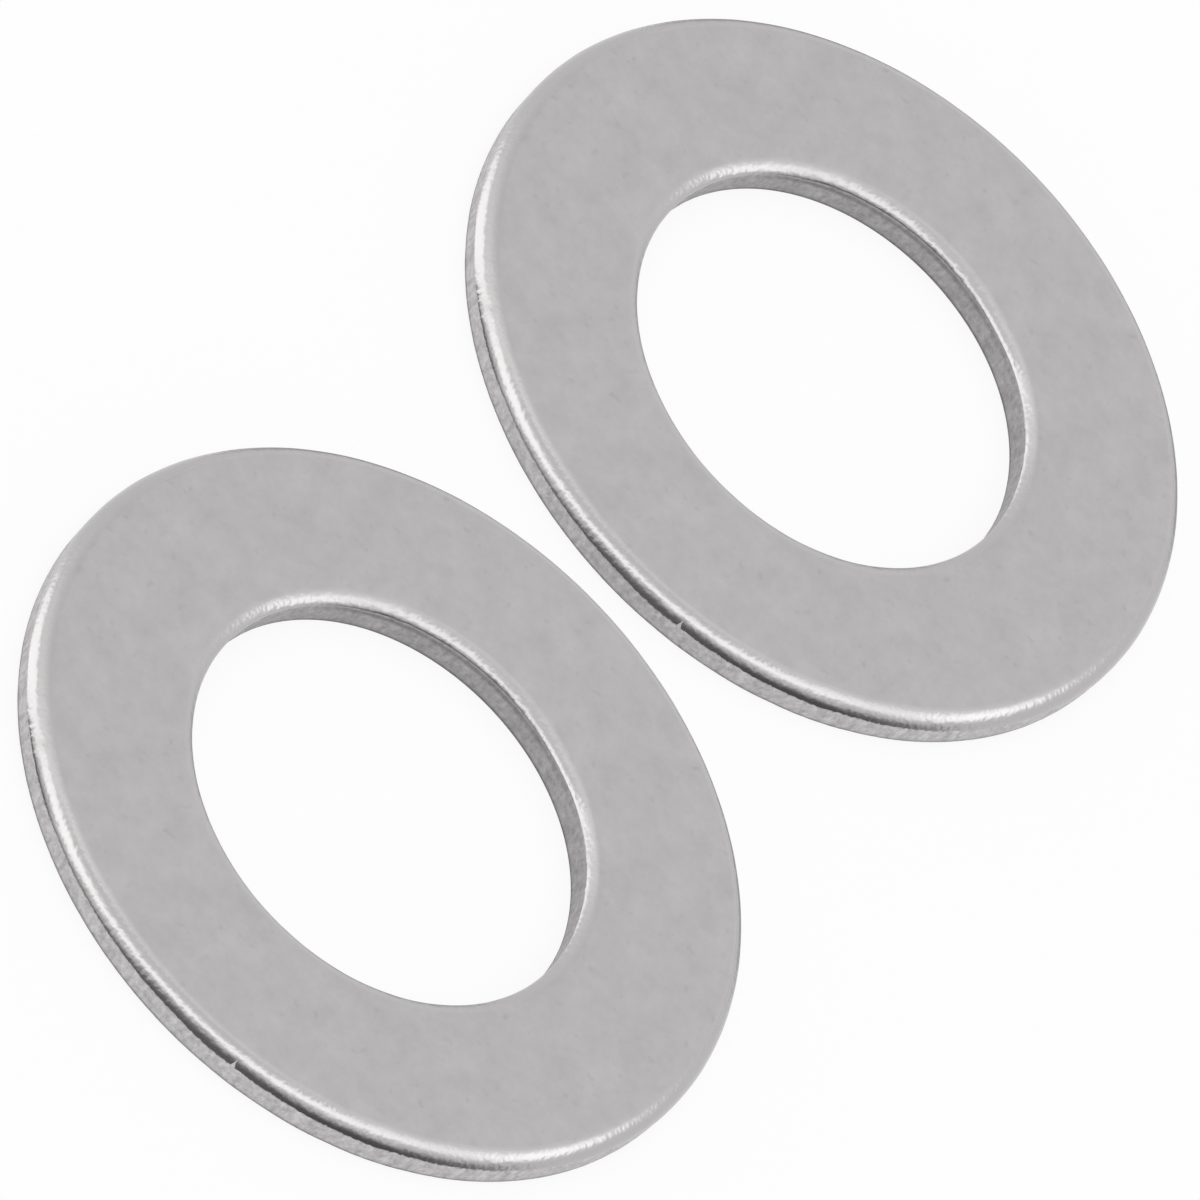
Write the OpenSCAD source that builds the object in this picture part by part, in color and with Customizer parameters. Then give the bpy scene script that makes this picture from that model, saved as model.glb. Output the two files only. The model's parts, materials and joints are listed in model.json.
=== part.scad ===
// Pair of plain steel axle washers, lying flat side by side
// Units are millimetres; the origin is midway between the two washers, on the surface they lie on

/* [Washer] */
// Outer diameter of each washer
washer_d = 37.3; // [28:0.1:60]
// Diameter of the axle hole
hole_d = 20.6; // [6:0.1:24]
// Thickness of the strip the washers were cut from
strip_t = 1.9; // [1.5:0.05:4]

/* [Rim edge] */
// Radius of the rolled upper corner of the rim
rim_roll_r = 0.9; // [0.3:0.05:1.2]
// Height of the smooth land under the rim's rolled corner
rim_land_h = 0.1; // [0.05:0.05:0.4]

/* [Hole edge] */
// Radius of the wide arc by which the face starts to roll over into the hole
hole_sweep_r = 0.97; // [0.6:0.01:1.6]
// Radius of the tight arc that runs from the wide one into the hole's wall
hole_roll_r = 0.12; // [0.05:0.01:0.4]
// Slope at which the wide arc passes into the tight one, as fall over run
hole_roll_slope = 1; // [0.5:0.05:1.2]
// Height of the smooth land under the hole's rolled corner
hole_land_h = 0.3; // [0.05:0.05:0.6]

/* [Broken foot] */
// How far the broken foot of each wall leans back from the smooth land
foot_lean = 0.04; // [0.01:0.01:0.1]
// Radius of the tumbled lower corner of each wall
foot_round_r = 0.12; // [0.04:0.01:0.18]

/* [Layout] */
// Clear space between the rims of the two washers
pair_gap = 2.6; // [0.5:0.1:20]

/* [Hidden] */
rim_r = washer_d / 2;
hole_r = hole_d / 2;
// Tilt of the hole's rolled corner where its two arcs meet
hole_roll_tilt = atan(hole_roll_slope);
// Width of the hole's rolled corner across the face, and its depth down the wall
hole_roll_w = hole_roll_r + (hole_sweep_r - hole_roll_r) * sin(hole_roll_tilt);
hole_roll_h = hole_sweep_r - (hole_sweep_r - hole_roll_r) * cos(hole_roll_tilt);
// Distance of each washer's centre from the middle of the pair
centre_x = (washer_d + pair_gap) / 2;
zinc_grey = "#b7b5b5";
$fn = 180;

// Outline of a sheared edge from bottom to top, with its wall at x = 0 and the metal on
// the -X side: the worn lower corner, the foot that broke away and leans back, the smooth
// land that the punch cut, and the corner it rolled over. Both corners are still chords.
function edge_outline(roll_w, roll_h, land_h) = [
    [-foot_lean - foot_round_r, 0],
    [-foot_lean, foot_round_r],
    [0, strip_t - roll_h - land_h],
    [0, strip_t - roll_h],
    [-roll_w, strip_t]
];

// Quarter disc: the centre is the origin, the round corner points to +X +Y
module round_corner(r) {
    intersection() {
        circle(r = r);
        square(r);
    }
}

// The worn lower corner, which fills an edge outline's lower chord
module foot_corner() {
    translate([-foot_lean - foot_round_r, foot_round_r])
        mirror([0, 1])
            round_corner(foot_round_r);
}

// The rim's rolled corner, which fills its outline's upper chord
module rim_corner() {
    translate([-rim_roll_r, strip_t - rim_roll_r])
        round_corner(rim_roll_r);
}

// The hole's rolled corner: a wide arc off the face that meets a tight arc into the wall
module hole_corner() {
    meet_x = hole_sweep_r * sin(hole_roll_tilt) - hole_roll_w;
    intersection() {
        translate([-hole_roll_w, strip_t - hole_sweep_r])
            circle(r = hole_sweep_r);
        translate([-hole_roll_w, strip_t - hole_roll_h])
            square([hole_roll_w + meet_x, 2 * hole_roll_h]);
    }
    intersection() {
        translate([-hole_roll_r, strip_t - hole_roll_h])
            circle(r = hole_roll_r);
        translate([meet_x, strip_t - hole_roll_h])
            square(2 * hole_roll_w);
    }
}

// Half section of the ring, from the rim's wall round to the hole's wall
module ring_section() {
    rim_edge = edge_outline(rim_roll_r, rim_roll_r, rim_land_h);
    hole_edge = edge_outline(hole_roll_w, hole_roll_h, hole_land_h);
    last = len(hole_edge) - 1;
    polygon(concat(
        [for (p = rim_edge) [rim_r + p[0], p[1]]],
        [for (i = [last:-1:0]) [hole_r - hole_edge[i][0], hole_edge[i][1]]]
    ));
    translate([rim_r, 0]) {
        foot_corner();
        rim_corner();
    }
    translate([hole_r, 0])
        mirror([1, 0]) {
            foot_corner();
            hole_corner();
        }
}

// One washer, blanked and pierced in a single stroke so both rolled corners face up
module washer() {
    rotate_extrude()
        ring_section();
}

module left_washer() {
    color(zinc_grey)
        translate([-centre_x, 0, 0])
            washer();
}

module right_washer() {
    color(zinc_grey)
        translate([centre_x, 0, 0])
            washer();
}

left_washer();
right_washer();
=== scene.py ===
"""A pair of blanked steel axle washers, tumbled and bright zinc plated, lying flat side by side."""

import json
from math import atan2, cos, hypot, pi, radians, sin, tau

import bmesh
import bpy
from mathutils import Matrix, Vector, noise


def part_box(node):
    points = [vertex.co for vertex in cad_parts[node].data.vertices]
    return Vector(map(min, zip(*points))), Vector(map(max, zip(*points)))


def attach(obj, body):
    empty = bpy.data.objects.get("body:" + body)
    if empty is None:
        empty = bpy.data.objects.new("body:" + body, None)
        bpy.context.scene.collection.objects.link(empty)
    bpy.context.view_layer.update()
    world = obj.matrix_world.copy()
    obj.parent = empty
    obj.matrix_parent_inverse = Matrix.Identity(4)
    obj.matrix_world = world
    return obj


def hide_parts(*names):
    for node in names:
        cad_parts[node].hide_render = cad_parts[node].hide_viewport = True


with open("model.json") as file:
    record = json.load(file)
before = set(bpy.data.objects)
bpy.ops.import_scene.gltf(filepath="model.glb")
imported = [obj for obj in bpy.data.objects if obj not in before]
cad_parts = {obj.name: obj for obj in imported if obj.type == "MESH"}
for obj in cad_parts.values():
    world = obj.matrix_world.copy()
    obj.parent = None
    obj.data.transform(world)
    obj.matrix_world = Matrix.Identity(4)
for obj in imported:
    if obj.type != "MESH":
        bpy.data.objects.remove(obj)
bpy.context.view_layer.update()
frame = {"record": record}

MM = 0.001

# Sizes of the washers, read from the frame
BORES = {m["name"]: m for m in frame["record"]["mounts"] if m["kind"] == "bore"}
HOLE_R = BORES["left_bore"]["dims"]["r_mm"] * MM
LOW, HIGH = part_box("left_washer")
RIM_R = (HIGH.y - LOW.y) / 2
STRIP_T = HIGH.z - LOW.z

# Form of the sheared edges: the rim's rolled corner, the smooth land under each corner, and
# the foot that broke away, leans back and ends in a worn lower corner
RIM_ROLL_R = 0.9 * MM
RIM_LAND_H = 0.1 * MM
HOLE_LAND_H = 0.25 * MM
FOOT_LEAN = 0.04 * MM
FOOT_ROUND_R = 0.12 * MM

# The hole's corner, worn up to 0.03 mm rounder than in the solids: for each arc from the face
# to the wall, the tilt at which it starts and ends, its radius and its steps
HOLE_CORNER = [
    (radians(0), radians(40), 0.95 * MM, 6),
    (radians(40), radians(62), 0.50 * MM, 5),
    (radians(62), radians(90), 0.10 * MM, 3),
]
HOLE_ROLL_W = sum(r * (sin(end) - sin(start)) for start, end, r, _ in HOLE_CORNER)

# Fineness of the mesh: steps round the ring, steps of each arc, pitch of the straight parts,
# and the distance within which two points are one
SECTORS = 30
SECTOR_STEPS = 40
RIM_ROLL_STEPS = 16
FOOT_STEPS = 3
WALL_PITCH = 0.08 * MM
FACE_PITCH = 1.0 * MM
RING_MERGE = 0.001 * MM

# Places on the section, by tilt: the corner is fully rolled from the first on, and what lies
# beyond the second belongs to the lower face
ROLLED_TILT = radians(28)
UNDERSIDE_TILT = radians(150)

# Faint waves of the rolled corners: the depth and length of each, and the share of its depth
# by which a wave sinks the metal on the whole
ROLL_WAVES = [(0.010 * MM, 1.8 * MM), (0.004 * MM, 0.7 * MM)]
WAVE_MEAN = 0.8

# Where the metal began to tear, above the table. The height swings twice round the rim, as
# the strip gave way unevenly, and it wanders everywhere. The torn metal is set back.
RIM_TEAR_Z = 1.095 * MM
RIM_TEAR_SWING = 0.09 * MM
RIM_TEAR_SWINGS = 2
HOLE_TEAR_Z = 1.43 * MM
TEAR_WANDER = 0.06 * MM
TEAR_WANDER_L = 1.4 * MM
TEAR_INSET = 0.018 * MM
TEAR_FADE = (-0.05 * MM, 0.03 * MM)

# Upright scores and small pits in the torn metal: distance apart and depth. The scores are
# five times as long as they are wide.
SCORE_PITCH = 0.3 * MM
SCORE_DEPTH = 0.003 * MM
SCORE_SQUEEZE = 0.2
PIT_PITCH = 0.22 * MM
PIT_DEPTH = 0.005 * MM

# The nick in the rim, where a sliver broke out above the tear: turn about the axis, half its
# width, the share of that which has the full height, and the height
NICK_TURN = radians(-169.4)
NICK_HALF_W = 0.08 * MM
NICK_FLAT = 0.4
NICK_H = 0.36 * MM

# The punch dragged the hole's corner deeper on the side that faces the lens's left: between
# which facings it deepens and evens out again, how it fades from the wall across the corner
# and down the wall, and how deep it is
SAG_STARTS = (radians(22), radians(38))
SAG_ENDS = (radians(54), radians(70))
SAG_ACROSS = (0.06 * MM, 0.52 * MM)
SAG_DOWN = (HOLE_TEAR_Z - 0.35 * MM, HOLE_TEAR_Z + 0.12 * MM)
SAG_DEPTH = 0.09 * MM

# Painted contact shadow at the foot of each wall: how dark, and the heights where it fades out
FOOT_PAINTED_SHADOW = 0.75
FOOT_PAINTED_SHADOW_FADE = (0.06 * MM, 0.26 * MM)

# Painted shade under the hole's corner, standing for a dark reflection: height, half its width,
# how dark it is, and the facings between which it begins and ends to both sides of the part
# that faces the lens
SEAM_Z = 1.24 * MM
SEAM_HALF_W = 0.24 * MM
SEAM_PAINTED_SHADE = 0.55
SEAM_STARTS = (radians(-50), radians(0))
SEAM_ENDS = (radians(42), radians(64))

# Knocks on the rolled edges: distance from the axis in mm, turn about it in degrees, height
# above the table, radius and depth in mm, and how much painted shade darkens each
KNOCKS = [
    (18.44, 135.5, 1.58, 0.60, 0.025, 0.1),
    (10.50, 143.4, 1.74, 0.16, 0.020, 0.3),
]

# Roughness of the satin face, of the rolled corner at the rim and at the hole, and of torn
# or grimy metal
FACE_ROUGHNESS = 0.34
RIM_ROUGHNESS = 0.24
HOLE_ROUGHNESS = 0.29
DULL_ROUGHNESS = 0.6

# How much the scores count in torn metal beside its grain, and the dimples in the rolled
# corners beside their pits
SCORE_WEIGHT = 0.4
DIMPLE_WEIGHT = 2.0

# How far the tear's edge is frayed, and how sharp it is, both in mm as above_tear is stored
FRAY = 0.06
FRAY_EDGE = 0.03

# The camera: a long lens that looks down on the washers, turned on its own axis
PHOTO_SIDE_PX = 1200
PX_PER_MM = 22.1
PAIR_CENTRE_PX = (594.5, 603.0)
SENSOR_W = 36
LENS_DISTANCE = 2414 * MM
NEAREST_SEEN = 0.1
FARTHEST_SEEN = 10
CAMERA_RISE = radians(44.61)
CAMERA_TURN = radians(-0.62)
CAMERA_ROLL = radians(46.38)

# The table: half its side, how far it lies below the washers to keep clear of their lower
# faces, and how much of its white is even, with no shadow on it
TABLE_HALF_SIDE = 1.5
TABLE_DROP = 0.02 * MM
TABLE_EVEN_SHARE = 0.88

# Light cards: distance, the step between cards that overlap, how far each end fades out in
# degrees of facing, how finely each is divided across and up, and the distance within which
# two points are one
CARD_DISTANCE = 4.0
CARD_STEP = 0.1
CARD_END_FADE = 5
CARD_COLUMNS = 8
CARD_ROWS = 30
CARD_MERGE = 0.01 * MM


def hex_colour(code):
    """An sRGB hex colour as linear red, green, blue and alpha."""
    parts = [int(code[i:i + 2], 16) / 255 for i in (1, 3, 5)]
    linear = [c / 12.92 if c <= 0.04045 else ((c + 0.055) / 1.055) ** 2.4 for c in parts]
    return (*linear, 1.0)


def add_node(tree, kind, settings, output=None):
    """Adds one node and returns an output of it. Settings name properties first, then sockets
    by name or number; another node's output is linked, and a hex code becomes a colour."""
    node = tree.nodes.new(kind)
    for name, value in settings.items():
        named = [s for s in node.inputs if s.enabled and s.name == name]
        socket = node.inputs[name] if isinstance(name, int) else named[0] if named else None
        if isinstance(value, str) and value.startswith("#"):
            value = hex_colour(value)
        if isinstance(value, bpy.types.NodeSocket):
            tree.links.new(value, socket)
        elif socket:
            socket.default_value = value
        else:
            setattr(node, name, value)
    outputs = [s for s in node.outputs if s.enabled and output in (None, s.name)]
    return outputs[0] if outputs else None


def empty_tree(holder):
    holder.use_nodes = True
    holder.node_tree.nodes.clear()
    return holder.node_tree


def smooth_step(low, high, x):
    """0 up to the low end, 1 from the high end on, and a soft rise between them."""
    t = min(1.0, max(0.0, (x - low) / (high - low)))
    return t * t * (3 - 2 * t)


# Finish

def tumbled_zinc_plate():
    """Mild steel strip, blanked, tumbled and bright zinc plated. The face is satin and faintly
    clouded with soft dark spots, and painted a little darker than the rolled corners as painted
    shade; the corners are finely pitted by the tumbling stones. The walls below the tear are
    matt, grainy and scored by the punch, and painted darker in the hole as painted shade."""
    material = bpy.data.materials.new("tumbled_zinc_plate")
    tree = empty_tree(material)
    flat = add_node(tree, "ShaderNodeAttribute", {"attribute_name": "washer_place"}, "Vector")
    edge = add_node(tree, "ShaderNodeAttribute", {"attribute_name": "edge_place"}, "Vector")
    rolled = add_node(tree, "ShaderNodeAttribute", {"attribute_name": "rolled"}, "Fac")
    bored = add_node(tree, "ShaderNodeAttribute", {"attribute_name": "bored"}, "Fac")
    painted_shade = add_node(tree, "ShaderNodeAttribute", {"attribute_name": "painted_shade"}, "Fac")
    above = add_node(tree, "ShaderNodeAttribute", {"attribute_name": "above_tear"}, "Fac")

    # Plating cloud, in patches of 0.5 to 3 mm, and soft dark spots about 0.25 mm across
    cloud = add_node(tree, "ShaderNodeTexNoise",
                     {"Vector": flat, "Scale": 1 / (1.8 * MM), "Detail": 5.0,
                      "Roughness": 0.75}, "Fac")
    patches = add_node(tree, "ShaderNodeMapRange",
                       {"Value": cloud, "From Min": 0.3, "From Max": 0.7})
    plate = add_node(tree, "ShaderNodeMix", {"data_type": "RGBA", "Factor": patches,
                                             "A": "#A7A5A6", "B": "#B2B0B1"})
    spots = add_node(tree, "ShaderNodeTexNoise",
                     {"Vector": flat, "Scale": 1 / (0.6 * MM), "Detail": 1.0}, "Fac")
    spotted = add_node(tree, "ShaderNodeMapRange",
                       {"Value": spots, "From Min": 0.66, "From Max": 0.82, "To Max": 0.25})
    spotty = add_node(tree, "ShaderNodeMix", {"data_type": "RGBA", "Factor": spotted,
                                              "A": plate, "B": "#858384"})
    # The rolled corners take a lighter plate: the face is painted darker as painted shade
    plated = add_node(tree, "ShaderNodeMix", {"data_type": "RGBA", "Factor": rolled,
                                              "A": spotty, "B": "#B4B2B2"})

    # Torn metal: grain of 0.3 mm, with the upright scores in it
    grain = add_node(tree, "ShaderNodeTexNoise",
                     {"Vector": edge, "Scale": 1 / (0.3 * MM), "Detail": 4.0,
                      "Roughness": 0.7}, "Fac")
    upright = add_node(tree, "ShaderNodeMapping",
                       {"Vector": edge, "Scale": (1, 1, SCORE_SQUEEZE)})
    scores = add_node(tree, "ShaderNodeTexNoise",
                      {"Vector": upright, "Scale": 1 / SCORE_PITCH, "Detail": 2.0}, "Fac")
    coarse = add_node(tree, "ShaderNodeMath", {"operation": "MULTIPLY_ADD", 0: scores,
                                               1: SCORE_WEIGHT, 2: grain})
    depths = add_node(tree, "ShaderNodeMapRange",
                      {"Value": coarse, "From Min": 0.5, "From Max": 0.9})
    rim_wall = add_node(tree, "ShaderNodeMix", {"data_type": "RGBA", "Factor": depths,
                                                "A": "#A8A6A6", "B": "#D4D2D2"})
    # The hole's wall is the same torn metal painted darker, as painted shade inside the hole
    shaded_hole_wall = add_node(tree, "ShaderNodeMix", {"data_type": "RGBA", "Factor": depths,
                                                 "A": "#929090", "B": "#B8B6B6"})
    matt = add_node(tree, "ShaderNodeMix", {"data_type": "RGBA", "Factor": bored,
                                            "A": rim_wall, "B": shaded_hole_wall})

    # The ragged line where the cut turned into a tear
    frayed = add_node(tree, "ShaderNodeTexNoise",
                      {"Vector": edge, "Scale": 1 / (0.2 * MM), "Detail": 3.0}, "Fac")
    fray = add_node(tree, "ShaderNodeMapRange",
                    {"Value": frayed, "From Min": 0.25, "From Max": 0.75,
                     "To Min": -FRAY, "To Max": FRAY})
    height = add_node(tree, "ShaderNodeMath", {"operation": "ADD", 0: above, 1: fray})
    torn = add_node(tree, "ShaderNodeMapRange",
                    {"Value": height, "From Min": -FRAY_EDGE, "From Max": FRAY_EDGE,
                     "To Min": 1.0, "To Max": 0.0})

    # Colour and shine. Torn metal scatters light as stone does, so it is given as a matt surface
    # with hardly any gloss, and so is the painted shade, which is dark.
    surface = add_node(tree, "ShaderNodeMix", {"data_type": "RGBA", "Factor": torn,
                                               "A": plated, "B": matt})
    # Painted shade darkens the colour here
    colour = add_node(tree, "ShaderNodeMix", {"data_type": "RGBA", "Factor": painted_shade,
                                              "A": surface, "B": "#5C5A59"})
    roll_shine = add_node(tree, "ShaderNodeMapRange",
                          {"Value": bored, "To Min": RIM_ROUGHNESS, "To Max": HOLE_ROUGHNESS})
    shine = add_node(tree, "ShaderNodeMapRange",
                     {"Value": rolled, "To Min": FACE_ROUGHNESS, "To Max": roll_shine})
    dull = add_node(tree, "ShaderNodeMath", {"operation": "MAXIMUM", 0: torn, 1: painted_shade})
    roughness = add_node(tree, "ShaderNodeMix", {"data_type": "FLOAT", "Factor": dull,
                                                 "A": shine, "B": DULL_ROUGHNESS})
    bare = add_node(tree, "ShaderNodeMapRange", {"Value": dull, "To Min": 1.0, "To Max": 0.0})
    glaze = add_node(tree, "ShaderNodeMapRange", {"Value": dull, "To Min": 0.5, "To Max": 0.1})

    # Relief: satin grit on the face, pits of 0.2 mm with dimples of 0.4 mm on the rolled
    # corners, deeper at the hole, and the grain below the tear
    grit = add_node(tree, "ShaderNodeTexNoise",
                    {"Vector": flat, "Scale": 1 / (0.2 * MM), "Detail": 4.0}, "Fac")
    satin = add_node(tree, "ShaderNodeBump",
                     {"Strength": 1.0, "Distance": 0.004 * MM, "Height": grit})
    pits = add_node(tree, "ShaderNodeTexNoise",
                    {"Vector": flat, "Scale": 1 / (0.2 * MM), "Detail": 2.0}, "Fac")
    dimples = add_node(tree, "ShaderNodeTexNoise",
                       {"Vector": flat, "Scale": 1 / (0.4 * MM), "Detail": 1.0}, "Fac")
    dimpled = add_node(tree, "ShaderNodeMath", {"operation": "MULTIPLY_ADD", 0: dimples,
                                                1: DIMPLE_WEIGHT, 2: pits})
    pitting = add_node(tree, "ShaderNodeMapRange",
                       {"Value": bored, "To Min": 0.3, "To Max": 0.5})
    pitted = add_node(tree, "ShaderNodeBump",
                      {"Strength": pitting, "Distance": 0.03 * MM, "Height": dimpled})
    rugged = add_node(tree, "ShaderNodeBump",
                      {"Strength": 1.0, "Distance": 0.01 * MM, "Height": coarse})
    smooth = add_node(tree, "ShaderNodeMix", {"data_type": "VECTOR", "Factor": rolled,
                                              "A": satin, "B": pitted})
    normal = add_node(tree, "ShaderNodeMix", {"data_type": "VECTOR", "Factor": torn,
                                              "A": smooth, "B": rugged})
    metal = add_node(tree, "ShaderNodeBsdfPrincipled",
                     {"Metallic": bare, "Base Color": colour, "Roughness": roughness,
                      "Specular IOR Level": glaze, "Normal": normal})
    add_node(tree, "ShaderNodeOutputMaterial", {"Surface": metal})
    return material


# The washers

def draw_arc(mesh, pen, x, z, turn, steps):
    """Swings the pen about a centre in the XZ plane and returns the last point."""
    arc = bmesh.ops.spin(mesh, geom=[pen], cent=(x, 0, z), axis=(0, 1, 0), angle=-turn,
                         steps=steps)
    return arc["geom_last"][0]


def draw_line(mesh, pen, x, z, pitch):
    """Runs the pen straight to a place in the XZ plane and returns the last point."""
    run = Vector((x, 0, z)) - pen.co
    steps = max(1, round(run.length / pitch))
    line = bmesh.ops.spin(mesh, geom=[pen], axis=(0, 1, 0), dvec=run / steps, angle=0,
                          steps=steps)
    return line["geom_last"][0]


def sheared_section(mesh):
    """Half section of a ring in the XZ plane, drawn from the rim's foot up over the face and
    down to the hole's foot, then back along the lower face."""
    corner = radians(90)
    foot = FOOT_LEAN + FOOT_ROUND_R
    rim_top = STRIP_T - RIM_ROLL_R
    pen = mesh.verts.new((RIM_R - foot, 0, 0))
    pen = draw_arc(mesh, pen, RIM_R - foot, FOOT_ROUND_R, corner, FOOT_STEPS)
    pen = draw_line(mesh, pen, RIM_R, rim_top - RIM_LAND_H, WALL_PITCH)
    pen = draw_line(mesh, pen, RIM_R, rim_top, WALL_PITCH)
    pen = draw_arc(mesh, pen, RIM_R - RIM_ROLL_R, rim_top, corner, RIM_ROLL_STEPS)
    pen = draw_line(mesh, pen, HOLE_R + HOLE_ROLL_W, STRIP_T, FACE_PITCH)
    for start, end, r, steps in HOLE_CORNER:
        x, z = pen.co.x + r * sin(start), pen.co.z - r * cos(start)
        pen = draw_arc(mesh, pen, x, z, end - start, steps)
    pen = draw_line(mesh, pen, HOLE_R, pen.co.z - HOLE_LAND_H, WALL_PITCH)
    pen = draw_line(mesh, pen, HOLE_R + FOOT_LEAN, FOOT_ROUND_R, WALL_PITCH)
    pen = draw_arc(mesh, pen, HOLE_R + foot, FOOT_ROUND_R, corner, FOOT_STEPS)
    draw_line(mesh, pen, RIM_R - foot, 0, FACE_PITCH)


def knock_list():
    """Each knock's centre, radius, depth and painted shade, the sizes in metres."""
    knocks = []
    for reach, turn, rise, radius, depth, shade_paint in KNOCKS:
        turn = radians(turn)
        centre = Vector((reach * cos(turn), reach * sin(turn), rise)) * MM
        knocks.append((centre, radius * MM, depth * MM, shade_paint))
    return knocks


def facing(turn, at_rim):
    """Which way a wall faces: 0 towards the lens, and more towards the lens's right."""
    return (turn if at_rim else turn + pi) % tau - pi - CAMERA_TURN


def tear_height(at_rim, turn, r, side, place):
    """Height above the table at which the cut turned into a tear."""
    if at_rim:
        tear_z = RIM_TEAR_Z + RIM_TEAR_SWING * sin(RIM_TEAR_SWINGS * side)
        off_nick = abs(turn - NICK_TURN) * r / NICK_HALF_W
        tear_z += NICK_H * (1 - smooth_step(NICK_FLAT, 1, off_nick))
    else:
        tear_z = HOLE_TEAR_Z
    return tear_z + TEAR_WANDER * noise.noise(place / TEAR_WANDER_L)


def torn_depth(place):
    """How deep torn metal lies below the smooth wall, with its scores and pits."""
    squeezed = Vector((place.x, place.y, place.z * SCORE_SQUEEZE))
    score = noise.noise(squeezed / SCORE_PITCH)
    pit = noise.noise(place / PIT_PITCH)
    return TEAR_INSET + SCORE_DEPTH * score + PIT_DEPTH * pit


def corner_sag(side, depth, z):
    """How far the punch dragged the hole's corner down at a place."""
    sag = smooth_step(*SAG_STARTS, -side)
    sag *= 1 - smooth_step(*SAG_ENDS, -side)
    sag *= 1 - smooth_step(*SAG_ACROSS, depth)
    sag *= smooth_step(*SAG_DOWN, z)
    return SAG_DEPTH * sag


def seam_painted_shade(side, z):
    """How much painted shade lies under the hole's corner at a place."""
    seam = 1 - smooth_step(0.0, SEAM_HALF_W, abs(z - SEAM_Z))
    seam *= smooth_step(*SEAM_STARTS, side)
    seam *= 1 - smooth_step(*SEAM_ENDS, side)
    return SEAM_PAINTED_SHADE * seam


def mark_and_wear(mesh):
    """Stores what the finish needs to know at each point, then wears the edges: faint waves
    in the rolled corners, torn metal set back below the tear, a dragged corner, knocks."""
    layers = mesh.verts.layers
    washer_place = layers.float_vector.new("washer_place")
    edge_place = layers.float_vector.new("edge_place")
    rolled = layers.float.new("rolled")
    bored = layers.float.new("bored")
    painted_shade = layers.float.new("painted_shade")
    above_tear = layers.float.new("above_tear")
    knocks = knock_list()
    mesh.normal_update()
    for v in mesh.verts:
        x, y, z = v.co
        r, turn = hypot(x, y), atan2(y, x)
        at_rim = r > (RIM_R + HOLE_R) / 2
        wall_r, roll_w = (RIM_R, RIM_ROLL_R) if at_rim else (HOLE_R, HOLE_ROLL_W)
        depth = abs(wall_r - r)
        tilt = v.normal.angle((0, 0, 1))
        on_edge = depth < roll_w and tilt < UNDERSIDE_TILT
        path = STRIP_T - z + roll_w - depth
        place = Vector((wall_r * cos(turn), wall_r * sin(turn), path))
        side = facing(turn, at_rim)
        tear_z = tear_height(at_rim, turn, r, side, place)
        v[washer_place] = v.co
        v[edge_place] = place
        v[bored] = 0.0 if at_rim else 1.0
        v[rolled] = smooth_step(0, ROLLED_TILT, tilt) if on_edge else 0.0
        v[above_tear] = (z - tear_z) / MM if on_edge else 1.0
        sink = v[rolled] * sum(wave * (WAVE_MEAN + noise.noise(place / length))
                               for wave, length in ROLL_WAVES)
        # Painted shade at the wall's foot, under the hole's corner and in the knocks
        shade_paint = 0.0
        if on_edge:
            torn = 1 - smooth_step(*TEAR_FADE, z - tear_z)
            sink += torn * torn_depth(place)
            # Painted contact shadow at the foot of the wall
            shade_paint = FOOT_PAINTED_SHADOW * (1 - smooth_step(*FOOT_PAINTED_SHADOW_FADE, z))
            if not at_rim:
                sink += corner_sag(side, depth, z)
                # Painted shade under the hole's corner
                shade_paint = max(shade_paint, seam_painted_shade(side, z))
            # Painted shade in the knocks
            for centre, radius, dent, knock_shade in knocks:
                hit = 1 - smooth_step(0.0, radius, (v.co - centre).length)
                sink += dent * hit
                shade_paint = max(shade_paint, knock_shade * hit)
        v[painted_shade] = shade_paint
        v.co -= v.normal * max(0.0, sink)


def worn_ring():
    """One washer about its own axis: a sector spun from the section, then copied round."""
    mesh = bmesh.new()
    sheared_section(mesh)
    sector = tau / SECTORS
    bmesh.ops.spin(mesh, geom=mesh.verts[:] + mesh.edges[:], axis=(0, 0, 1), angle=sector,
                   steps=SECTOR_STEPS)
    bmesh.ops.spin(mesh, geom=mesh.verts[:] + mesh.edges[:] + mesh.faces[:], axis=(0, 0, 1),
                   angle=tau - sector, steps=SECTORS - 1, use_duplicate=True)
    bmesh.ops.remove_doubles(mesh, verts=mesh.verts, dist=RING_MERGE)
    bmesh.ops.recalc_face_normals(mesh, faces=mesh.faces)
    mark_and_wear(mesh)
    data = bpy.data.meshes.new("worn_ring")
    mesh.to_mesh(data)
    mesh.free()
    data.shade_smooth()
    return data


def add_washer(node, bore, ring, finish):
    """One washer, with its place in its mesh."""
    x, y, _ = BORES[bore]["pos_m"]
    data = ring.copy()
    data.name = node + "_plated"
    data.transform(Matrix.Translation((x, y, 0)))
    data.materials.append(finish)
    piece = bpy.data.objects.new(data.name, data)
    bpy.context.scene.collection.objects.link(piece)
    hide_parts(node)
    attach(piece, "root")
    piece.visible_glossy = False


# The studio

def camera_axes():
    """Ahead and right of the camera over the table, then its up and back."""
    ahead = Vector((cos(CAMERA_TURN), sin(CAMERA_TURN), 0))
    right = Vector((sin(CAMERA_TURN), -cos(CAMERA_TURN), 0))
    up = ahead * sin(CAMERA_RISE) + Vector((0, 0, cos(CAMERA_RISE)))
    back = -ahead * cos(CAMERA_RISE) + Vector((0, 0, sin(CAMERA_RISE)))
    return ahead, right, up, back


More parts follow.
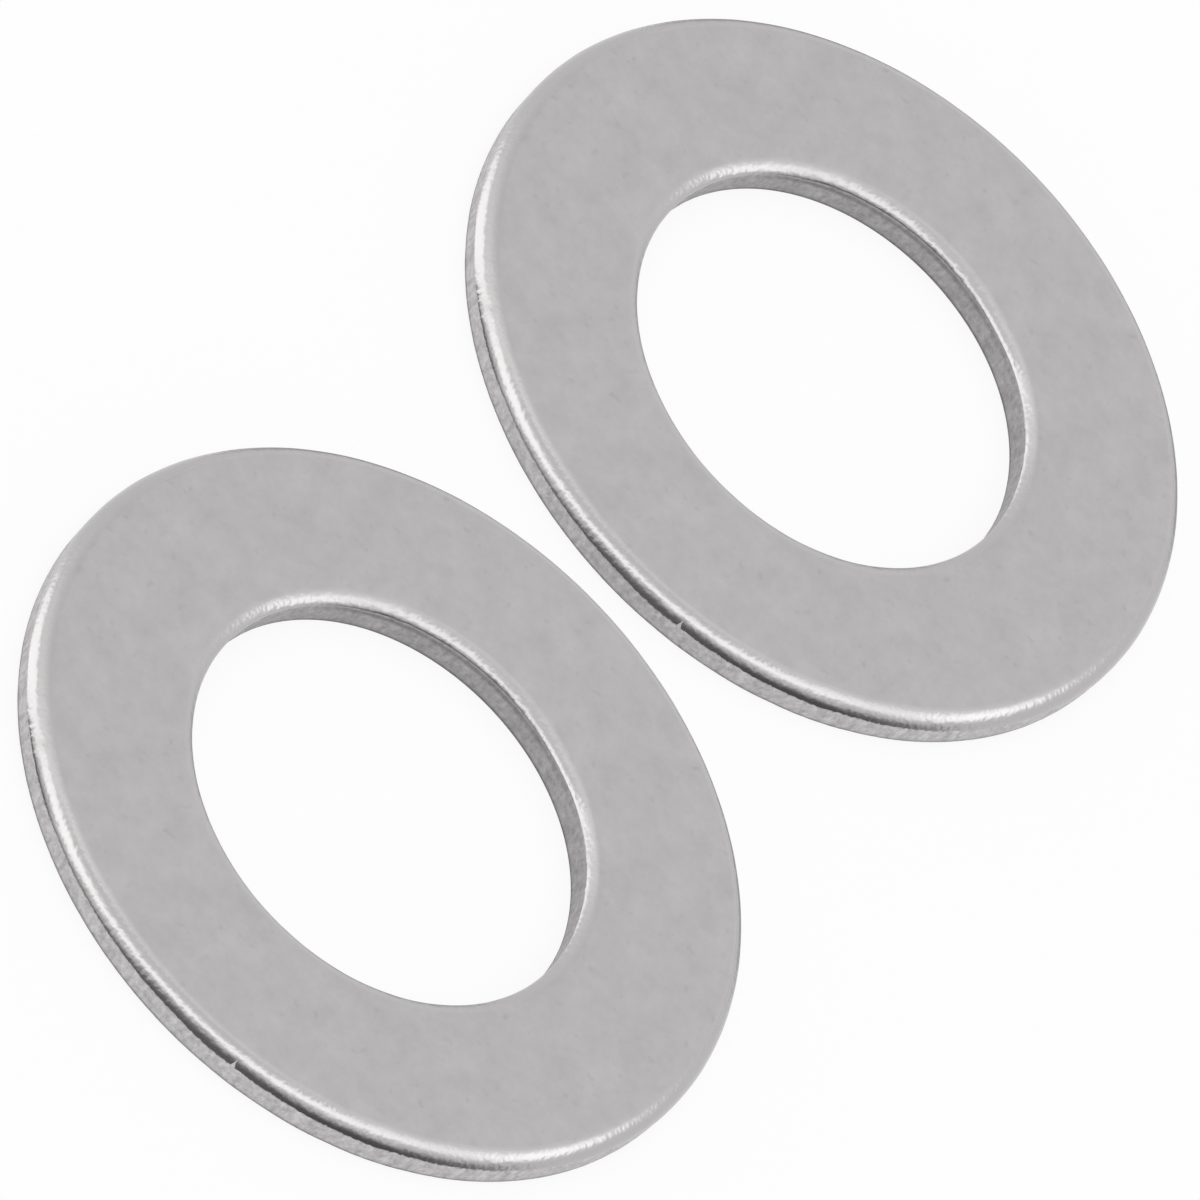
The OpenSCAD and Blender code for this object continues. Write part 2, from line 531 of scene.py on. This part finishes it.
def set_camera():
    """The photo's viewpoint: the pair lies on the picture's rising diagonal."""
    _, right, up, back = camera_axes()
    across = right * cos(CAMERA_ROLL) + up * sin(CAMERA_ROLL)
    upward = up * cos(CAMERA_ROLL) - right * sin(CAMERA_ROLL)
    centre = PHOTO_SIDE_PX / 2
    aside = (centre - PAIR_CENTRE_PX[0]) / PX_PER_MM * MM
    above = (PAIR_CENTRE_PX[1] - centre) / PX_PER_MM * MM
    data = bpy.data.cameras.new("long_lens")
    data.sensor_width = SENSOR_W
    data.lens = SENSOR_W * LENS_DISTANCE / (PHOTO_SIDE_PX / PX_PER_MM * MM)
    data.clip_start = NEAREST_SEEN
    data.clip_end = FARTHEST_SEEN
    camera = bpy.data.objects.new("long_lens", data)
    turn = Matrix((across, upward, back)).transposed().to_4x4()
    place = back * LENS_DISTANCE + across * aside + upward * above
    camera.matrix_world = Matrix.Translation(place) @ turn
    bpy.context.scene.collection.objects.link(camera)
    bpy.context.scene.camera = camera


def stage_piece(name, mesh, material):
    """A floor or card from a bmesh, kept apart from the object."""
    data = bpy.data.meshes.new(name)
    mesh.to_mesh(data)
    mesh.free()
    data.materials.append(material)
    piece = bpy.data.objects.new(name, data)
    bpy.context.scene.collection.objects.link(piece)
    piece.visible_shadow = False
    return piece


def background_rays(tree):
    """1 for the rays that show the background: camera, glossy and transmission rays."""
    seen = add_node(tree, "ShaderNodeLightPath", {}, "Is Camera Ray")
    for kind in ("Is Glossy Ray", "Is Transmission Ray"):
        ray = add_node(tree, "ShaderNodeLightPath", {}, kind)
        seen = add_node(tree, "ShaderNodeMath", {"operation": "MAXIMUM", 0: seen, 1: ray})
    return seen


def set_floor():
    """A plain white table top that keeps a faint shadow, and is clear from below."""
    material = bpy.data.materials.new("white_table")
    tree = empty_tree(material)
    chalk = add_node(tree, "ShaderNodeBsdfDiffuse", {"Color": "#F4F4F4"})
    white = add_node(tree, "ShaderNodeEmission", {"Strength": 1.0})
    share = add_node(tree, "ShaderNodeMath", {"operation": "MULTIPLY", 0: background_rays(tree),
                                              1: TABLE_EVEN_SHARE})
    top = add_node(tree, "ShaderNodeMixShader", {0: share, 1: chalk, 2: white})
    below = add_node(tree, "ShaderNodeNewGeometry", {}, "Backfacing")
    clear = add_node(tree, "ShaderNodeBsdfTransparent", {})
    table = add_node(tree, "ShaderNodeMixShader", {0: below, 1: top, 2: clear})
    add_node(tree, "ShaderNodeOutputMaterial", {"Surface": table})
    mesh = bmesh.new()
    bmesh.ops.create_grid(mesh, x_segments=1, y_segments=1, size=TABLE_HALF_SIDE)
    bmesh.ops.translate(mesh, verts=mesh.verts, vec=(0, 0, -TABLE_DROP))
    stage_piece("white_table", mesh, material).visible_glossy = False


def set_world():
    """Soft white room light."""
    world = bpy.data.worlds.new("white_room")
    bpy.context.scene.world = world
    tree = empty_tree(world)
    light = add_node(tree, "ShaderNodeBackground", {"Color": "#FFFFFF", "Strength": 1.0})
    add_node(tree, "ShaderNodeOutputWorld", {"Surface": light})


def mirrored_way(tilt, side):
    """The way in which metal of this tilt and facing mirrors the lens. Tilt is from level;
    side is measured from the lens, towards its right."""
    ahead, right, _, back = camera_axes()
    level = right * sin(side) - ahead * cos(side)
    normal = level * sin(tilt) + Vector((0, 0, cos(tilt)))
    return 2 * normal.dot(back) * normal - back


def soft_card_glow():
    """Paper lit from behind, as bright as the glow stored in the card and as solid as its
    cover, so that it melts into the white room along its sides."""
    material = bpy.data.materials.new("soft_card")
    tree = empty_tree(material)
    glow = add_node(tree, "ShaderNodeAttribute", {"attribute_name": "glow"}, "Fac")
    cover = add_node(tree, "ShaderNodeAttribute", {"attribute_name": "cover"}, "Fac")
    light = add_node(tree, "ShaderNodeEmission", {"Strength": glow})
    clear = add_node(tree, "ShaderNodeBsdfTransparent", {})
    card = add_node(tree, "ShaderNodeMixShader", {0: cover, 1: clear, 2: light})
    add_node(tree, "ShaderNodeOutputMaterial", {"Surface": card})
    material.cycles.emission_sampling = "NONE"
    return material


def add_card(name, material, fades, reach, distance=CARD_DISTANCE):
    """A curved card that only metal sees. Reach gives, for facings of the metal, the lower
    and upper tilt at which it mirrors the card's sides, in degrees, then the glow. Fades
    gives how many degrees of tilt each side takes to melt away."""
    low_fade, high_fade = fades
    mesh = bmesh.new()
    glow = mesh.verts.layers.float.new("glow")
    cover = mesh.verts.layers.float.new("cover")
    first, last = reach[0][0], reach[-1][0]
    for before, after in zip(reach, reach[1:]):
        strip = bmesh.ops.create_grid(mesh, x_segments=CARD_COLUMNS, y_segments=CARD_ROWS,
                                      size=0.5)
        for v in strip["verts"]:
            # Shares of the way across the strip and up it
            s, t = v.co.x + 0.5, v.co.y + 0.5
            side, low, high, level = (a + (b - a) * s for a, b in zip(before, after))
            bottom, top = low - low_fade / 2, high + high_fade / 2
            tilt = bottom + (top - bottom) * t
            within = smooth_step(0, low_fade, tilt - bottom)
            within *= smooth_step(0, high_fade, top - tilt)
            end = min(side - first, last - side)
            v[glow] = level
            v[cover] = within * smooth_step(0, CARD_END_FADE, end)
            v.co = mirrored_way(radians(tilt), radians(side)) * distance
    bmesh.ops.remove_doubles(mesh, verts=mesh.verts, dist=CARD_MERGE)
    card = stage_piece(name, mesh, material)
    card.visible_camera = False
    card.visible_diffuse = False


finish = tumbled_zinc_plate()
ring = worn_ring()
add_washer("left_washer", "left_bore", ring, finish)
add_washer("right_washer", "right_bore", ring, finish)
bpy.data.meshes.remove(ring)

set_camera()
set_world()
set_floor()

# The cards: a bright one along the front and its softer neighbours, a dark one below them for
# the shade under the rolled corners, and a light and a dark one behind
paper = soft_card_glow()
add_card("key_light", paper, fades=(9, 5), reach=[
    (-76, 54, 66, 1.4), (-68, 50, 73, 1.95), (-58, 51, 96, 2.05), (-53, 52, 94, 2.05),
    (-48, 51, 84, 1.95), (-43, 43, 66, 1.65), (-38, 41, 65, 2.05), (-31, 43, 69, 2.1),
    (-25, 50, 71, 2.1), (-12, 45, 57, 2.1), (0, 38, 49, 2.15), (12, 34, 45, 2.1),
    (25, 29, 44, 2.05), (31, 20, 42, 2.0), (38, 14, 39, 1.95), (43, 14, 39, 1.65),
    (48, 21, 44, 1.45), (53, 28, 47, 2.0), (58, 25, 48, 2.3), (70, 17, 37, 2.35),
    (80, 14, 24, 1.35), (86, 14, 20, 1.2)])
add_card("side_glow", paper, fades=(24, 8), distance=CARD_DISTANCE + CARD_STEP, reach=[
    (-80, 30, 46, 1.15), (-68, 28, 46, 1.2), (-56, 28, 48, 1.25), (-45, 25, 46, 1.4),
    (-38, 22, 40, 1.4), (-30, 20, 34, 1.4)])
add_card("upper_light", paper, fades=(8, 8), distance=CARD_DISTANCE + CARD_STEP, reach=[
    (-36, 17, 34, 1.35), (-25, 18, 32, 1.5), (-12, 10, 22, 1.5), (0, 5, 16, 1.55),
    (12, 2, 12, 1.55), (25, 1, 11, 1.45), (38, 2, 14, 1.4), (48, 3, 14, 1.2),
    (64, 4, 14, 1.1), (72, 4, 14, 1.2), (80, 4, 14, 1.15), (90, 6, 12, 1.05)])
add_card("dark_card", paper, fades=(18, 14), distance=CARD_DISTANCE - CARD_STEP, reach=[
    (-51, 88, 102, 0.6), (-46, 80, 100, 0.1), (-38, 79, 98, 0.08), (-31, 84, 94, 0.25),
    (-25, 84, 93, 0.2), (-12, 76, 92, 0.12), (-4, 63, 93, 0.18), (0, 58, 93, 0.18),
    (12, 57, 92, 0.18), (25, 58, 91, 0.12), (38, 56, 90, 0.12), (48, 58, 90, 0.25),
    (58, 62, 90, 0.5)])
add_card("back_light", paper, fades=(3, 8), reach=[
    (100, 2, 18, 1.15), (140, 2, 20, 1.15), (180, 2, 20, 1.15), (220, 2, 20, 1.15),
    (258, 2, 18, 1.15)])
add_card("back_shade", paper, fades=(10, 5), reach=[
    (112, 34, 60, 0.6), (140, 32, 60, 0.4), (180, 31, 60, 0.4), (220, 32, 60, 0.4),
    (248, 34, 60, 0.6)])

bpy.context.scene.view_settings.view_transform = "Standard"
